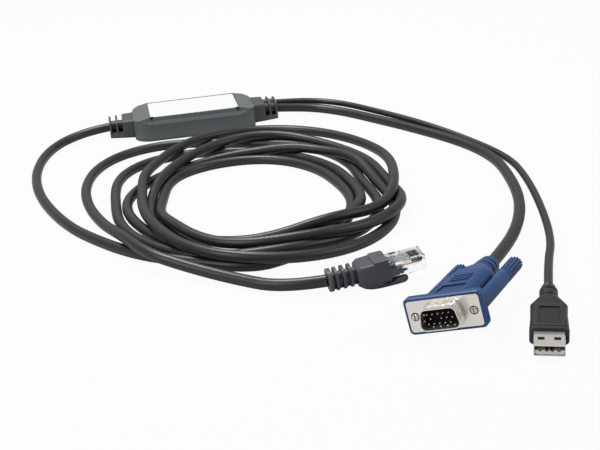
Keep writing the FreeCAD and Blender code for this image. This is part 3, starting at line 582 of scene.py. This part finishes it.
def whiteWhenSeen(tree, shader, amount):
    # mixes plain white into what the camera sees, straight or through clear plastic, and less
    # into what metal mirrors
    add, link = tree.nodes.new, tree.links.new
    path = add("ShaderNodeLightPath")
    mirrored = add("ShaderNodeMath")
    mirrored.operation = "MULTIPLY"
    mirrored.inputs[1].default_value = stageLook["mirrored"]
    link(path.outputs["Is Glossy Ray"], mirrored.inputs[0])
    through = add("ShaderNodeMath")
    through.operation = "MAXIMUM"
    link(mirrored.outputs["Value"], through.inputs[0])
    link(path.outputs["Is Transmission Ray"], through.inputs[1])
    seen = add("ShaderNodeMath")
    seen.operation = "MAXIMUM"
    link(path.outputs["Is Camera Ray"], seen.inputs[0])
    link(through.outputs["Value"], seen.inputs[1])
    share = add("ShaderNodeMath")
    share.operation = "MULTIPLY"
    share.inputs[1].default_value = amount
    link(seen.outputs["Value"], share.inputs[0])
    white = add("ShaderNodeEmission")
    mix = add("ShaderNodeMixShader")
    link(share.outputs["Value"], mix.inputs["Fac"])
    link(shader, mix.inputs[1])
    link(white.outputs["Emission"], mix.inputs[2])
    return mix


floorMesh = bpy.data.meshes.new("floor")
half = stageLook["size"] / 2
floorMesh.from_pydata([(-half, -half, 0), (half, -half, 0), (half, half, 0), (-half, half, 0)],
                      [], [(0, 1, 2, 3)])
floor = bpy.data.objects.new("floor", floorMesh)
bpy.context.scene.collection.objects.link(floor)
floor.location.z = -stageLook["drop"]
floorMaterial, floorTree, floorShader = newMaterial("floorPale")
floorShader.inputs["Base Color"].default_value = (*stageLook["colour"], 1)
floorShader.inputs["Roughness"].default_value = stageLook["roughness"]
floorMix = whiteWhenSeen(floorTree, floorShader.outputs["BSDF"], stageLook["seenWhite"])
floorTree.links.new(floorMix.outputs["Shader"],
                    floorTree.nodes["Material Output"].inputs["Surface"])
floorMesh.materials.append(floorMaterial)

world = bpy.data.worlds.new("studio")
bpy.context.scene.world = world
world.use_nodes = True
skyLook = {"colour": (0.9, 0.92, 0.95), "strength": 0.18}
worldTree = world.node_tree
sky = worldTree.nodes["Background"]
sky.inputs["Color"].default_value = (*skyLook["colour"], 1)
sky.inputs["Strength"].default_value = skyLook["strength"]
# the sky is pure white where it is seen, and mirrors and the light itself keep it softer
skyMix = whiteWhenSeen(worldTree, sky.outputs["Background"], 1.0)
worldTree.links.new(skyMix.outputs["Shader"], worldTree.nodes["World Output"].inputs["Surface"])

lampLooks = [
    {"name": "overhead", "spot": (-0.12, 0.2, 1.0), "size": 0.4, "watts": 10.0},
    {"name": "leftSoft", "spot": (-0.9, -0.7, 0.7), "size": 0.5, "watts": 4.0},
    {"name": "rightFill", "spot": (0.9, -0.6, 0.6), "size": 0.6, "watts": 2.5}]
lookAt = Vector((20, -160, 0)) * mm  # about the middle of the coil
for look in lampLooks:
    lamp = bpy.data.lights.new(look["name"], "AREA")
    lamp.energy = look["watts"]
    lamp.size = look["size"]
    lampObject = bpy.data.objects.new(look["name"], lamp)
    bpy.context.scene.collection.objects.link(lampObject)
    lampObject.location = look["spot"]
    lampObject.rotation_euler = (lookAt - Vector(look["spot"])).to_track_quat(
        "-Z", "Y").to_euler()

# spot in millimetres; heading to the right of +Y, down from level and roll in degrees
cameraLook = {"spot": (-43.0, -734.1, 211.7), "heading": 8.45, "down": 21.5, "roll": 4.59,
              "lens": 67.7}


def cameraTurn(look):
    # the turn of a camera that looks along its heading, tips down and rolls about its view
    heading, down = math.radians(look["heading"]), math.radians(look["down"])
    roll = math.radians(look["roll"])
    ahead = Vector((math.sin(heading) * math.cos(down), math.cos(heading) * math.cos(down),
                    -math.sin(down)))
    right = Vector((math.cos(heading), -math.sin(heading), 0))
    up = right.cross(ahead)
    rolledRight = right * math.cos(roll) - up * math.sin(roll)
    rolledUp = up * math.cos(roll) + right * math.sin(roll)
    return Matrix((rolledRight, rolledUp, -ahead)).transposed()


cameraData = bpy.data.cameras.new("camera")
cameraData.lens = cameraLook["lens"]
camera = bpy.data.objects.new("camera", cameraData)
bpy.context.scene.collection.objects.link(camera)
cameraSpot = Matrix.Translation(Vector(cameraLook["spot"]) * mm)
camera.matrix_world = cameraSpot @ cameraTurn(cameraLook).to_4x4()
bpy.context.scene.camera = camera
bpy.context.scene.view_settings.view_transform = "Standard"
print("stage, lamps and camera placed")
